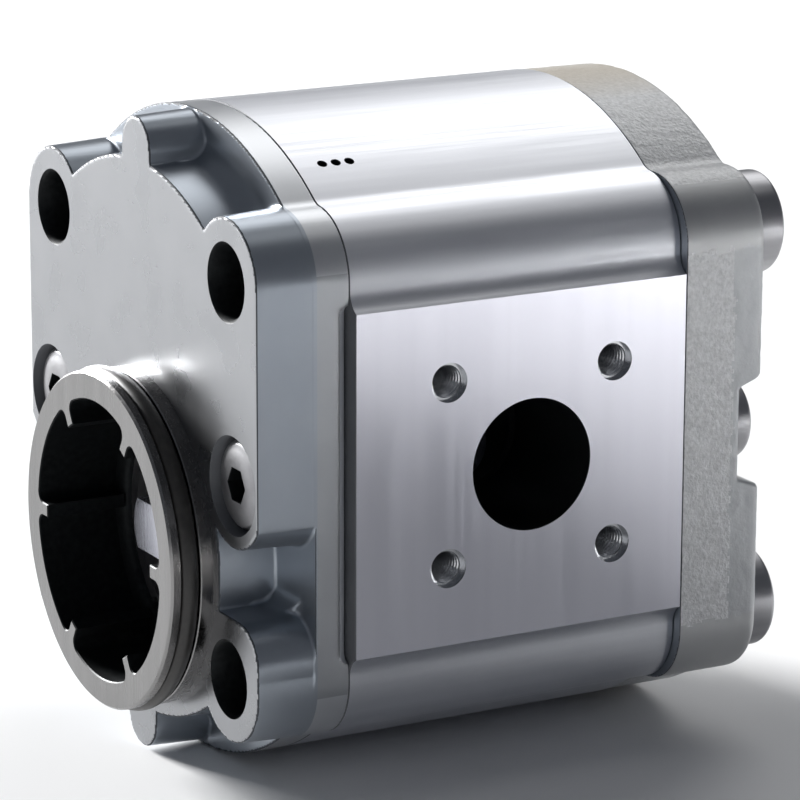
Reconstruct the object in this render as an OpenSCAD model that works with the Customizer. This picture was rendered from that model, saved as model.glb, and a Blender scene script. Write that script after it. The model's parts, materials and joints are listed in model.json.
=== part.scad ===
// External gear pump with a tang drive, a round locating pilot and two square-flange ports.
// The drive shaft turns on the Y axis. The mounting face lies at y = 0 and looks towards -Y,
// the pilot stands out of it, and the pump body runs back along +Y. Z points up.

/* [Mounting interface] */
// Diameter of the locating pilot
pilot_d = 52; // [48:0.5:54]
// How far the pilot stands out of the mounting face
pilot_h = 7.2; // [7:0.1:9]
// Sideways spacing of the corner mounting holes
bolt_pitch_x = 60; // [58:0.5:64]
// Upright spacing of the corner mounting holes
bolt_pitch_z = 60; // [58:0.5:64]
// Diameter of the corner mounting holes in the front cover
mount_hole_d = 11; // [10.5:0.1:12]
// Depth of the wide part of the corner mounting holes
mount_hole_depth = 5; // [4:0.5:6]

/* [Housing] */
// Width of the body between its flat sides
housing_w = 80; // [79:0.5:90]
// Radius of the arched top and bottom, about the middle of the pump
crown_r = 50; // [49:0.5:56]
// Radius of the corner lobes round the through screws
lobe_r = 10; // [9.5:0.1:10.5]
// Radius of the blend between a corner lobe and the arch
lobe_blend_r = 4; // [2:0.5:8]
// Thickness of the front cover behind the mounting face
front_cover_t = 14.8; // [14.6:0.1:18]
// Length of the extruded body
body_l = 56.4; // [54:0.2:80]
// Thickness of the rear cover
rear_cover_t = 14.4; // [13:0.2:20]
// How far the rear cover's corner lobes stand out beyond the body's flat sides
rear_lobe_step = 2; // [1:0.1:3]

/* [Front cover] */
// Thickness of the full-outline flange at the back of the front cover
flange_t = 5.5; // [5:0.1:6.5]
// Radius of the sunken arch between the corner lobes and the centre rib
scallop_r = 43.4; // [42.5:0.1:45]
// Width of the upright ribs at the top and bottom centre
rib_w = 10.4; // [9:0.1:12]
// How far the ribs stop short of the arched outline
rib_short = 0.2; // [0.1:0.1:2]
// Radius of the lugs round the front clamp screws
lug_r = 9.9; // [9.5:0.1:10.5]
// Radius of the boss that carries the pilot
pilot_boss_r = 27.5; // [27.2:0.1:28.5]
// Radius of the shoulder on the inner top corner of the lower lobes
shoulder_r = 6.7; // [5:0.1:8]
// Radius of the cast fillet between the arch of the cover face and the flange
cast_fillet_r = 3; // [1:0.1:3.6]
// Radius of the cast fillets between the lobes, lugs and pilot boss and the flange
boss_fillet_r = 1.3; // [0.8:0.1:2.5]
// Size of the bevel on the flange beside the port pads
pad_bevel = 1.5; // [0.5:0.1:2]

/* [Pilot socket] */
// Radius of the socket between its inner tabs
socket_r = 21.7; // [20.5:0.1:22]
// Radius to the tips of the inner tabs
tab_tip_r = 18.35; // [17.5:0.05:19]
// Width of an inner tab
tab_w = 2.1; // [1.5:0.1:3]
// Radius of the fillet at the root of a tab
tab_fillet_r = 1.5; // [0.5:0.1:1.8]
// Depth of the tabbed socket behind the mounting face
socket_depth = 6; // [5.6:0.1:6.4]
// Number of inner tabs
tab_count = 6; // [4:1:8]

/* [Pilot groove] */
// Section diameter of the pilot O-ring
pilot_ring_d = 3; // [2.5:0.1:3.2]
// How far the pilot O-ring stands proud of the pilot
pilot_ring_proud = 0.15; // [0:0.05:0.2]
// Width of the pilot groove
pilot_groove_w = 3.3; // [3.2:0.1:3.6]
// Distance from the mounting face to the pilot groove
pilot_groove_y = 2.4; // [1.8:0.1:2.8]

/* [Drive] */
// Thickness of the drive tang across its flats
tang_t = 7.9; // [7:0.1:9]
// Diameter that the tang is cut from
tang_d = 15.4; // [14.5:0.1:16.6]
// Where the tang ends behind the mounting face
tang_y = 2.5; // [1.5:0.1:3.5]
// Length of the tang
tang_l = 6; // [5:0.1:6.4]
// Diameter of the shaft under the lip seal
seal_journal_d = 17; // [16.8:0.1:17.6]
// Diameter of the bearing journals
journal_d = 18; // [17.8:0.1:19]

/* [Gears] */
// Distance between the drive and driven axes
gear_centres = 31; // [30.8:0.05:31.2]
// Number of teeth on each gear
teeth = 12; // [11:1:13]
// Face width of the gears
gear_w = 13.4; // [8:0.2:18]
// Pressure angle at which the teeth mesh
mesh_angle = 24.6; // [24:0.2:26]
// Height of the teeth outside the pitch circle
addendum = 2.7; // [2.4:0.05:2.75]
// Gap between the tooth tips and the roots of the other gear
root_gap = 0.6; // [0.4:0.05:0.8]
// Play between the teeth on the pitch circle
tooth_play = 0.12; // [0.08:0.01:0.2]
// Gap between the tooth tips and the gear chamber
tip_gap = 0.3; // [0.1:0.05:0.4]

/* [Bearings] */
// Outside diameter of the plain bearing bushes
bush_d = 21; // [20.6:0.1:22]
// Running clearance on the radius of each journal
journal_gap = 0.03; // [0.02:0.01:0.06]
// Gap between each gear face and its bearing block
side_gap = 0.05; // [0.03:0.01:0.1]
// Gap between each bearing block and its cover
block_gap = 0.1; // [0.05:0.05:0.2]
// Fit clearance on the radius of pieces that seat in one another
seat_gap = 0.02; // [0.01:0.01:0.04]
// Depth of the relief pockets beside the tooth mesh
relief_depth = 1.2; // [0.6:0.1:2]

/* [Seals] */
// Depth of the groove for the axial seals in the bearing blocks
axial_groove_depth = 2; // [1.5:0.1:2.5]
// Width of an axial seal
axial_seal_w = 2.2; // [1.8:0.1:2.4]
// Width of the back-up ring beside an axial seal
backup_w = 1.2; // [0.8:0.1:1.4]
// Land between the edge of a bearing block and its axial seal
axial_seal_land = 3; // [2.4:0.1:3.4]
// Depth of the housing seal groove in each end of the body
body_groove_depth = 1.6; // [1.2:0.1:2]
// Width of a housing seal
body_seal_w = 2; // [1.6:0.1:2.4]
// Wall between the gear chamber and the housing seal groove
body_seal_wall = 1.4; // [1.2:0.1:1.8]
// How far the shaft seal clears the tab tips when it is fitted
shaft_seal_play = 0.15; // [0.1:0.05:0.5]
// Length of the shaft seal
shaft_seal_l = 4; // [3.6:0.1:4.2]
// Section diameter of the spring round the lip
garter_d = 1.2; // [0.8:0.1:1.3]
// Lead-in bevel at the mouth of the shaft seal's bore
seal_lead = 0.8; // [0.4:0.1:0.8]
// Distance from the end of the socket to the snap ring
snap_inset = 1.2; // [1.2:0.1:1.4]
// Thickness of the snap ring that keeps the shaft seal in
snap_t = 1.5; // [1:0.1:1.6]
// Depth of the snap ring's groove
snap_groove = 0.8; // [0.5:0.1:1]
// Width of the snap ring's band
snap_band = 3; // [2.4:0.1:3.4]

/* [Ports] */
// Bore of the two ports
port_d = 20; // [19:0.5:22]
// Diameter of the narrower passage between each port bore and the gears
passage_d = 18; // [14:0.5:18.5]
// Depth of the port bores
port_depth = 22; // [12:0.5:22.5]
// Bolt circle of the port flanges
port_pcd = 40; // [38:0.5:42]
// Distance of the ports behind the mounting face
port_y = 44.5; // [44:0.1:46]
// Thread diameter of the port flange screws
port_thread_d = 6; // [5:0.5:6.5]
// Depth of the port flange screw holes
port_thread_depth = 13; // [10:0.5:13.5]
// Height of each port pad above the body's flat side
pad_h = 1.95; // [1.5:0.05:2.5]
// Upright width of each port pad
pad_w = 52; // [48:0.5:54]
// Radius of the run-out at the top and bottom of each port pad
pad_blend_r = 3.5; // [3:0.1:5]

/* [Screws] */
// Thread diameter of the four through screws
through_screw_d = 10; // [9:0.5:10]
// Distance from the mounting face to the tips of the through screws
through_tip_y = 5.6; // [5.6:0.1:6.6]
// Head diameter of the through screws
through_head_d = 16; // [14:0.5:17]
// Head height of the through screws
through_head_h = 6; // [5:0.5:8]
// Width across flats of the through screws' sockets
through_socket = 7; // [6:0.5:8]
// Thread diameter of the clamp screws
clamp_screw_d = 8; // [7:0.5:8]
// Length of the clamp screws under the head
clamp_screw_l = 25; // [20:0.5:26]
// Head diameter of the clamp screws
clamp_head_d = 13; // [12:0.5:14]
// Head height of the clamp screws
clamp_head_h = 5; // [4:0.5:6]
// Width across flats of the clamp screws' sockets
clamp_socket = 5; // [4:0.5:6]
// Sideways spacing of the clamp screws
clamp_pitch = 63.4; // [62:0.2:64]
// Diameter of the counterbores for the front clamp screws
clamp_bore_d = 14.8; // [14.2:0.1:15.4]
// How far the front clamp screw heads lie below the mounting face
clamp_sunk = 1.2; // [0.5:0.1:1.5]
// Play round a screw in its clearance hole
screw_play = 0.3; // [0.2:0.05:0.5]

/* [Rear cover] */
// Depth of the notches for the rear clamp screws
notch_depth = 4.3; // [3:0.1:5]
// Upright width of the notches at their floor
notch_w = 14.2; // [13.6:0.1:16]
// How much wider the notches are at the rear face, on each side
notch_flare = 1.6; // [0:0.1:2.5]
// Play beside a clamp screw head in its notch
notch_play = 1.5; // [1:0.1:3]
// Depth of the drain pockets behind the journals
drain_depth = 1.5; // [0.5:0.1:3]

/* [Dowel pins] */
// Diameter of the dowel pins
dowel_d = 5; // [4:0.5:6]
// Length of the dowel pins
dowel_l = 12; // [8:0.5:14]
// Distance of the dowel pins above and below the middle of the pump
dowel_offset = 43; // [42.6:0.1:44]

/* [Marks] */
// Diameter of the three dimples that mark the top of the body
dimple_d = 1.4; // [1:0.1:2]
// Spacing of the dimples
dimple_pitch = 2.25; // [2:0.05:3]
// Distance of the first dimple behind the front end of the body
dimple_y = 4.6; // [3:0.1:8]
// Angle of the dimples round the arch, from the side
dimple_angle = 62.6; // [55:0.5:80]

/* [Hidden] */
$fn = 96;

eps = 0.01;
mid_z = gear_centres / 2;
half_w = housing_w / 2;
pad_x = half_w + pad_h;
body_y = front_cover_t;
rear_y = front_cover_t + body_l;
back_y = rear_y + rear_cover_t;
gear_y = body_y + body_l / 2;
flange_y = front_cover_t - flange_t;
bolt_x = bolt_pitch_x / 2;
bolt_z = bolt_pitch_z / 2;
clamp_x = clamp_pitch / 2;
notch_y = back_y - notch_depth;
front_seat_y = clamp_sunk + clamp_head_h;
through_screw_l = back_y - through_tip_y;
rolling_r = gear_centres / 2;
tip_r = rolling_r + addendum;
chamber_r = tip_r + tip_gap;
block_r = chamber_r - seat_gap;
block_l = body_l / 2 - gear_w / 2 - side_gap - block_gap;
front_block_y = body_y + block_gap;
rear_block_y = rear_y - block_gap - block_l;
journal_r = journal_d / 2;
bush_r = bush_d / 2;
seal_journal_r = seal_journal_d / 2;
shaft_hole_r = journal_r + screw_play;
shaft_seal_r = tab_tip_r - shaft_seal_play;
axial_seal_r = block_r - axial_seal_land;
axial_waist = 0.6 * axial_seal_r;
snap_y = socket_depth + snap_inset;
snap_seat_r = shaft_seal_r + seat_gap;
snap_outer_r = snap_seat_r + snap_groove;
snap_inner_r = snap_outer_r - snap_band;
seal_y = snap_y + snap_t;
seal_floor_y = seal_y + shaft_seal_l;
body_seal_r = chamber_r + body_seal_wall;
port_hole_step = port_pcd / 2 * sqrt(0.5);

// Involute tooth form, worked out from the distance between the axes and the mesh angle
base_r = rolling_r * cos(mesh_angle);
root_r = gear_centres - tip_r - root_gap;
root_fillet = 0.8;
flank_steps = 6;
tooth_half = (180 / teeth - tooth_play / rolling_r * 90 / PI) / 2;
function involute(a) = tan(a) * 180 / PI - a;
function flank_angle(r) = tooth_half + involute(mesh_angle) - involute(acos(min(1, base_r / r)));
function polar(r, a) = [r * cos(a), r * sin(a)];
function flank_r(i) = base_r + (tip_r - base_r) * i / flank_steps;

// Meeting point of two circles, on the left of the line from centre a to centre b
function meet(a, ra, b, rb) =
  let (v = b - a, d = norm(v), t = (ra * ra - rb * rb + d * d) / (2 * d))
  let (h = sqrt(ra * ra - t * t), u = v / d)
  a + u * t + [-u[1], u[0]] * h;

// Carries a drawing in the X-Z plane back along Y, from y0 to y1
module along_y(y0, y1) {
  translate([0, y1, 0]) rotate([90, 0, 0]) linear_extrude(y1 - y0) children();
}

// Turns a profile drawn as [radius, y] about an axis along Y at [x, z]
module turned(x, z) {
  translate([x, 0, z]) rotate([-90, 0, 0]) rotate_extrude() children();
}

module rod(x, z, r, y0, y1) {
  translate([x, y0, z]) rotate([-90, 0, 0]) cylinder(r = r, h = y1 - y0);
}

// Copies a piece to the four screw corners
module at_corners() {
  for (sx = [-1, 1], sz = [-1, 1]) translate([sx * bolt_x, 0, mid_z + sz * bolt_z]) children();
}

module at_clamps() {
  for (sx = [-1, 1]) translate([sx * clamp_x, 0, mid_z]) children();
}

module at_dowels() {
  for (sz = [-1, 1]) translate([0, 0, mid_z + sz * dowel_offset]) children();
}

// Fillet patch in the notch between the arch and the lobe centred at [lobe_x, bolt_z]
module lobe_fillet(lobe_x) {
  lobe = [lobe_x, bolt_z];
  centre = meet([0, 0], crown_r + lobe_blend_r, lobe, lobe_r + lobe_blend_r);
  difference() {
    polygon([[0, 0], lobe, centre]);
    translate(centre) circle(r = lobe_blend_r);
  }
}

// Housing outline about the middle of the pump
module outline(side_x, lobe_x) {
  intersection() {
    circle(r = crown_r, $fn = 360);
    square([2 * side_x, 2 * crown_r + 1], center = true);
  }
  for (sx = [-1, 1], sz = [-1, 1]) {
    translate([sx * lobe_x, sz * bolt_z]) circle(r = lobe_r);
    scale([sx, sz]) lobe_fillet(lobe_x);
  }
}

// Port pad with a run-out above and below it, on the right-hand side
module pad_outline() {
  blend_rise = sqrt(pad_blend_r * pad_blend_r - pow(pad_blend_r - pad_h, 2));
  difference() {
    translate([half_w - 5, -pad_w / 2 - blend_rise])
      square([5 + pad_h, pad_w + 2 * blend_rise]);
    for (sz = [-1, 1]) {
      translate([half_w + pad_blend_r, sz * (pad_w / 2 + blend_rise)]) circle(r = pad_blend_r);
    }
  }
}

// Two circles round the gear axes, joined by a straight-sided waist
module double_ring(r, waist) {
  circle(r = r);
  translate([0, gear_centres]) circle(r = r);
  translate([-waist, 0]) square([2 * waist, gear_centres]);
}

module double_band(r, waist, w) {
  difference() {
    double_ring(r, waist);
    double_ring(r - w, waist - w);
  }
}

module body_seal_band() {
  double_band(body_seal_r + body_seal_w, chamber_r, body_seal_w);
}

module axial_seal_band() {
  double_band(axial_seal_r, axial_waist, axial_seal_w);
}

module backup_band() {
  double_band(axial_seal_r - axial_seal_w, axial_waist - axial_seal_w, backup_w);
}

module gear_chamber() {
  circle(r = chamber_r);
  translate([0, gear_centres]) circle(r = chamber_r);
}

module block_outline() {
  circle(r = block_r);
  translate([0, gear_centres]) circle(r = block_r);
}

// Face of the front cover: arch, corner lobes, ribs, lugs and pilot boss
module nose_outline() {
  rib_top = crown_r - rib_short - rib_w / 2;
  intersection() {
    union() {
      intersection() {
        circle(r = scallop_r, $fn = 360);
        translate([-half_w, 0]) square([2 * half_w, scallop_r + 1]);
      }
      intersection() {
        circle(r = scallop_r, $fn = 360);
        translate([-bolt_x - 3, -scallop_r - 1]) square([2 * bolt_x + 6, scallop_r + 1 - bolt_z + lobe_r]);
      }
      translate([-half_w, 0]) square([2 * half_w, bolt_z]);
      translate([0, -mid_z]) circle(r = pilot_boss_r);
      for (sx = [-1, 1], sz = [-1, 1]) {
        translate([sx * bolt_x, sz * bolt_z]) circle(r = lobe_r);
      }
      for (sx = [-1, 1]) {
        translate([sx * clamp_x, 0]) circle(r = lug_r);
        translate([sx * (half_w - shoulder_r), -bolt_z + lobe_r - shoulder_r]) circle(r = shoulder_r);
      }
      for (sz = [-1, 1]) {
        translate([0, sz * rib_top]) circle(r = rib_w / 2);
        translate([-rib_w / 2, sz > 0 ? 0 : -rib_top]) square([rib_w, rib_top]);
      }
    }
    square([2 * half_w, 2 * crown_r], center = true);
  }
}

// Cast fillet of radius f round a boss of radius r, against the flange's front face
module boss_fillet(x, z, r, f) {
  turned(x, z) difference() {
    translate([r - 1, flange_y - f]) square([1 + f, f + 1]);
    translate([r + f, flange_y - f]) circle(r = f, $fn = 48);
  }
}

module cast_fillets() {
  intersection() {
    translate([0, 0, mid_z]) along_y(flange_y - cast_fillet_r, flange_y + 1) outline(half_w, bolt_x);
    union() {
      boss_fillet(0, mid_z, scallop_r, cast_fillet_r);
      boss_fillet(0, 0, pilot_boss_r, boss_fillet_r);
      for (sx = [-1, 1]) {
        boss_fillet(sx * clamp_x, mid_z, lug_r, boss_fillet_r);
        for (sz = [-1, 1]) boss_fillet(sx * bolt_x, mid_z + sz * bolt_z, lobe_r, boss_fillet_r);
      }
    }
  }
}

// Tab on the wall of the socket, with a fillet on each side of its root
module tab() {
  translate([tab_tip_r, -tab_w / 2]) square([socket_r - tab_tip_r + 1, tab_w]);
  for (s = [-1, 1]) scale([1, s]) difference() {
    translate([socket_r - tab_fillet_r - 0.1, 0]) square([tab_fillet_r + 1, tab_w / 2 + tab_fillet_r]);
    translate([socket_r - tab_fillet_r - 0.1, tab_w / 2 + tab_fillet_r]) circle(r = tab_fillet_r, $fn = 32);
  }
}

module socket_outline() {
  difference() {
    circle(r = socket_r);
    for (i = [0:tab_count - 1]) rotate(360 / tab_count * i) tab();
  }
  circle(r = tab_tip_r);
}

module pilot_profile() {
  r = pilot_d / 2;
  c = 0.3;
  groove_r = r + pilot_ring_proud - pilot_ring_d;
  polygon([[tab_tip_r - 3, 1], [tab_tip_r - 3, -pilot_h], [r - c, -pilot_h], [r, -pilot_h + c],
    [r, -pilot_groove_y - pilot_groove_w], [groove_r, -pilot_groove_y - pilot_groove_w],
    [groove_r, -pilot_groove_y], [r, -pilot_groove_y], [r, 1]]);
}

// Everything that is bored into the front cover on the drive axis
module drive_bores() {
  along_y(-pilot_h - 1, socket_depth) socket_outline();
  rod(0, 0, snap_seat_r, socket_depth - eps, seal_floor_y);
  turned(0, 0) polygon([[0, socket_depth - eps], [snap_seat_r + seal_lead, socket_depth - eps],
    [snap_seat_r, socket_depth + seal_lead], [0, socket_depth + seal_lead]]);
  rod(0, 0, snap_outer_r + seat_gap, snap_y, snap_y + snap_t);
  rod(0, 0, shaft_hole_r, 0, front_cover_t + 1);
}

// Bevel of the flange beside a port pad, which fades out in a cone at both ends
module pad_bevel_cut() {
  b = pad_bevel;
  translate([half_w, front_cover_t, mid_z]) {
    translate([0, 0, -pad_w / 2]) linear_extrude(pad_w)
      polygon([[-b, 0], [0, -b], [1, -b - 1], [1, 1], [-b, 1]]);
    for (sz = [-1, 1]) translate([-b, 0, sz * pad_w / 2]) rotate([0, 90, 0])
      cylinder(r1 = 0, r2 = b + 1, h = b + 1);
  }
}

module front_cover() {
  color([0.55, 0.58, 0.62]) difference() {
    union() {
      translate([0, 0, mid_z]) along_y(0, flange_y + 1) nose_outline();
      translate([0, 0, mid_z]) along_y(flange_y, front_cover_t) outline(half_w, bolt_x);
      cast_fillets();
      turned(0, 0) pilot_profile();
    }
    drive_bores();
    pad_bevel_cut();
    mirror([1, 0, 0]) pad_bevel_cut();
    at_corners() {
      rod(0, 0, mount_hole_d / 2, -1, mount_hole_depth);
      rod(0, 0, through_screw_d / 2 + seat_gap, 0, front_cover_t + 1);
      turned(0, 0) polygon([[0, -1], [mount_hole_d / 2 + 1.6, -1], [mount_hole_d / 2, 0.6], [0, 0.6]]);
    }
    at_clamps() {
      rod(0, 0, clamp_bore_d / 2, -1, front_seat_y);
      rod(0, 0, clamp_screw_d / 2 + screw_play, 0, front_cover_t + 1);
    }
    at_dowels() rod(0, 0, dowel_d / 2 + seat_gap, front_cover_t - dowel_l / 2, front_cover_t + 1);
    rod(0, gear_centres, journal_r - 1, front_cover_t - drain_depth, front_cover_t + 1);
  }
}

module pump_body() {
  color([0.8, 0.81, 0.84]) difference() {
    translate([0, 0, mid_z]) along_y(body_y, rear_y) union() {
      outline(half_w, bolt_x);
      pad_outline();
      scale([-1, 1]) pad_outline();
    }
    along_y(body_y - 1, rear_y + 1) gear_chamber();
    along_y(body_y - 1, body_y + body_groove_depth) body_seal_band();
    along_y(rear_y - body_groove_depth, rear_y + 1) body_seal_band();
    at_corners() rod(0, 0, through_screw_d / 2 + screw_play, body_y - 1, rear_y + 1);
    at_clamps() {
      rod(0, 0, clamp_screw_d / 2 + seat_gap, body_y - 1, front_seat_y + clamp_screw_l + 0.5);
      rod(0, 0, clamp_screw_d / 2 + seat_gap, notch_y - clamp_screw_l - 0.5, rear_y + 1);
    }
    at_dowels() {
      rod(0, 0, dowel_d / 2 + seat_gap, body_y - 1, body_y + dowel_l / 2);
      rod(0, 0, dowel_d / 2 + seat_gap, rear_y - dowel_l / 2, rear_y + 1);
    }
    for (sx = [-1, 1]) port_cut(sx);
    for (i = [0:2]) dimple(body_y + dimple_y + i * dimple_pitch);
  }
}

// Port bore, its passage to the gears and its four flange screw holes, cut into one side
module port_cut(sx) {
  translate([0, port_y, mid_z]) rotate([0, sx * 90, 0]) {
    cylinder(r = passage_d / 2, h = pad_x);
    translate([0, 0, pad_x - port_depth]) cylinder(r = port_d / 2, h = port_depth + 1);
    for (a = [45:90:315]) rotate(a) translate([port_pcd / 2, 0, pad_x]) {
      translate([0, 0, -port_thread_depth]) cylinder(r = port_thread_d / 2, h = port_thread_depth + 1);
      translate([0, 0, -port_thread_depth - 1.5]) cylinder(r1 = 0.5, r2 = port_thread_d / 2, h = 1.51);
    }
  }
}

module dimple(y) {
  translate([crown_r * cos(dimple_angle), y, mid_z + crown_r * sin(dimple_angle)])
    rotate([0, 90 - dimple_angle, 0]) translate([0, 0, -0.8]) cylinder(r = dimple_d / 2, h = 2);
}

// Notch across the rear cover for a clamp screw head, open at the side
module notch(sx) {
  floor_x = clamp_x - clamp_head_d / 2 - notch_play;
  half = notch_w / 2;
  far_x = half_w + rear_lobe_step + 1;
  intersection() {
    translate([sx > 0 ? floor_x : -far_x, 0, mid_z]) rotate([90, 0, 90])
      linear_extrude(far_x - floor_x)
        polygon([[notch_y, -half], [back_y, -half - notch_flare], [back_y + 2, -half - notch_flare],
          [back_y + 2, half + notch_flare], [back_y, half + notch_flare], [notch_y, half]]);
    translate([sx * clamp_x, 0, mid_z]) union() {
      rod(0, 0, half + notch_flare, notch_y - 1, back_y + 2);
      translate([sx > 0 ? 0 : -20, notch_y - 1, -20]) cube([20, notch_depth + 3, 40]);
    }
  }
}

module rear_cover() {
  color([0.6, 0.6, 0.62]) difference() {
    translate([0, 0, mid_z]) along_y(rear_y, back_y) outline(half_w + rear_lobe_step, bolt_x + rear_lobe_step);
    notch(1);
    notch(-1);
    at_corners() rod(0, 0, through_screw_d / 2 + screw_play, rear_y - 1, back_y + 1);
    at_clamps() rod(0, 0, clamp_screw_d / 2 + screw_play, rear_y - 1, back_y + 1);
    at_dowels() rod(0, 0, dowel_d / 2 + seat_gap, rear_y - 1, rear_y + dowel_l / 2);
    for (z = [0, gear_centres]) rod(0, z, journal_r - 1, rear_y - 1, rear_y + drain_depth);
    translate([-2, rear_y - 1, 0]) cube([4, 1 + drain_depth, gear_centres]);
  }
}

module gear_outline() {
  polygon([for (t = [0:teeth - 1]) let (a = 360 / teeth * t) each concat(
    [polar(root_r, a - flank_angle(base_r) - root_fillet / root_r * 180 / PI)],
    [polar(root_r + root_fillet, a - flank_angle(base_r))],
    [for (i = [0:flank_steps]) polar(flank_r(i), a - flank_angle(flank_r(i)))],
    [for (i = [flank_steps:-1:0]) polar(flank_r(i), a + flank_angle(flank_r(i)))],
    [polar(root_r + root_fillet, a + flank_angle(base_r))],
    [polar(root_r, a + flank_angle(base_r) + root_fillet / root_r * 180 / PI)])]);
}

module gear(z, turn) {
  translate([0, 0, z]) along_y(gear_y - gear_w / 2, gear_y + gear_w / 2) rotate(turn) gear_outline();
}

// Plain shaft with bevelled ends
module journal(z, r, y0, y1, c) {
  turned(0, z) polygon([[0, y0], [r - c, y0], [r, y0 + c], [r, y1 - c], [r - c, y1], [0, y1]]);
}

module drive_gear_shaft() {
  color([0.72, 0.73, 0.78]) union() {
    journal(0, journal_r, seal_floor_y + 0.3, rear_y - 0.5, 0.6);
    rod(0, 0, seal_journal_r, tang_y + tang_l, gear_y);
    intersection() {
      journal(0, tang_d / 2, tang_y, tang_y + tang_l + 1, 0.4);
      translate([-tang_d, tang_y, -tang_t / 2]) cube([2 * tang_d, tang_l + 1, tang_t]);
    }
    gear(0, 90);
  }
}

module driven_gear_shaft() {
  color([0.7, 0.71, 0.75]) difference() {
    union() {
      journal(gear_centres, journal_r, body_y + 0.5, rear_y - 0.5, 0.6);
      gear(gear_centres, 270 + 180 / teeth);
    }
    rod(0, gear_centres, 2.5, body_y - 1, rear_y + 1);
  }
}

// Bearing block that carries both gears on one side, from y0 to y1
module bearing_block(y0, y1, outer_y, inner_y) {
  groove_from = outer_y < inner_y ? outer_y - 1 : outer_y - axial_groove_depth;
  relief_from = outer_y < inner_y ? inner_y - relief_depth : inner_y - 1;
  difference() {
    along_y(y0, y1) block_outline();
    for (z = [0, gear_centres]) rod(0, z, bush_r + seat_gap / 2, y0 - 1, y1 + 1);
    along_y(groove_from, groove_from + axial_groove_depth + 1) {
      axial_seal_band();
      backup_band();
    }
    for (sx = [-1, 1]) translate([sx > 0 ? 1.6 : -6.6, relief_from, mid_z - 3])
      cube([5, relief_depth + 1, 6]);
  }
}

module front_bearing_block() {
  color([0.75, 0.68, 0.5])
    bearing_block(front_block_y, front_block_y + block_l, front_block_y, front_block_y + block_l);
}

module rear_bearing_block() {
  color([0.75, 0.68, 0.5])
    bearing_block(rear_block_y, rear_block_y + block_l, rear_block_y + block_l, rear_block_y);
}

module bush(z, y) {
  color([0.6, 0.45, 0.3]) difference() {
    rod(0, z, bush_r, y, y + block_l);
    rod(0, z, journal_r + journal_gap, y - 1, y + block_l + 1);
  }
}

module front_drive_bush() {
  bush(0, front_block_y);
}

module front_driven_bush() {
  bush(gear_centres, front_block_y);
}

module rear_drive_bush() {
  bush(0, rear_block_y);
}

module rear_driven_bush() {
  bush(gear_centres, rear_block_y);
}

module front_axial_seal() {
  color([0.15, 0.15, 0.15]) along_y(body_y, front_block_y + axial_groove_depth) axial_seal_band();
}

module rear_axial_seal() {
  color([0.15, 0.15, 0.15]) along_y(rear_y - block_gap - axial_groove_depth, rear_y) axial_seal_band();
}

module front_backup_ring() {
  color([0.9, 0.88, 0.8]) along_y(front_block_y, front_block_y + axial_groove_depth) backup_band();
}

module rear_backup_ring() {
  color([0.9, 0.88, 0.8])
    along_y(rear_y - block_gap - axial_groove_depth, rear_y - block_gap) backup_band();
}

module front_body_seal() {
  color([0.12, 0.12, 0.12]) along_y(body_y, body_y + body_groove_depth) body_seal_band();
}

module rear_body_seal() {
  color([0.12, 0.12, 0.12]) along_y(rear_y - body_groove_depth, rear_y) body_seal_band();
}

// Lip seal with a hollow towards the pump and a groove for its spring
module shaft_seal() {
  lip_r = seal_journal_r + journal_gap;
  color([0.1, 0.1, 0.1]) difference() {
    turned(0, 0) polygon([[lip_r + 1.5, seal_y], [shaft_seal_r, seal_y], [shaft_seal_r, seal_floor_y],
      [shaft_seal_r - 2.5, seal_floor_y], [shaft_seal_r - 2.5, seal_y + 1.6], [lip_r + 3.2, seal_y + 1.6],
      [lip_r + 2.2, seal_floor_y - 0.6], [lip_r + 0.8, seal_floor_y - 0.6], [lip_r, seal_floor_y - 1.4],
      [lip_r, seal_floor_y - 1.8], [lip_r + 1.5, seal_y + 1.4]]);
    garter(garter_d / 2 + seat_gap);
  }
}

module garter(r) {
  turned(0, 0) translate([seal_journal_r + journal_gap + 2.6, seal_floor_y - 1.3]) circle(r = r, $fn = 32);
}

module garter_spring() {
  color([0.7, 0.7, 0.7]) garter(garter_d / 2);
}

// Snap ring with its gap and two plier holes at the bottom
module seal_snap_ring() {
  color([0.2, 0.2, 0.22]) difference() {
    rod(0, 0, snap_outer_r, snap_y, snap_y + snap_t);
    rod(0, 0, snap_inner_r, snap_y - 1, snap_y + snap_t + 1);
    rotate([0, 20, 0]) {
      translate([-3, snap_y - 1, -snap_outer_r - 1]) cube([6, snap_t + 2, snap_band + 3]);
      for (sx = [-1, 1]) rotate([0, sx * 14, 0]) rod(0, snap_band / 2 - snap_outer_r, 0.8, snap_y - 1, snap_y + snap_t + 1);
    }
  }
}

module pilot_o_ring() {
  ring_r = pilot_d / 2 + pilot_ring_proud - pilot_ring_d / 2 + seat_gap;
  color([0.08, 0.08, 0.08]) turned(0, 0)
    translate([ring_r, -pilot_groove_y - pilot_groove_w / 2]) circle(r = pilot_ring_d / 2, $fn = 48);
}

// Low-head socket screw on an axis along Y: the head stands from seat_y towards dir
module socket_screw(d, l, head_d, head_h, socket_w, seat_y, dir) {
  c = 0.6;
  translate([0, seat_y, 0]) rotate([dir > 0 ? -90 : 90, 0, 0]) difference() {
    rotate_extrude() polygon([[0, head_h], [head_d / 2 - c, head_h], [head_d / 2, head_h - c], [head_d / 2, 0],
      [d / 2, 0], [d / 2, c - l], [d / 2 - c, -l], [0, -l]]);
    translate([0, 0, head_h / 2]) cylinder(r = socket_w / sqrt(3), h = head_h, $fn = 6);
  }
}

module front_clamp_screws() {
  color([0.3, 0.3, 0.32]) at_clamps()
    socket_screw(clamp_screw_d, clamp_screw_l, clamp_head_d, clamp_head_h, clamp_socket, front_seat_y, -1);
}

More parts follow.
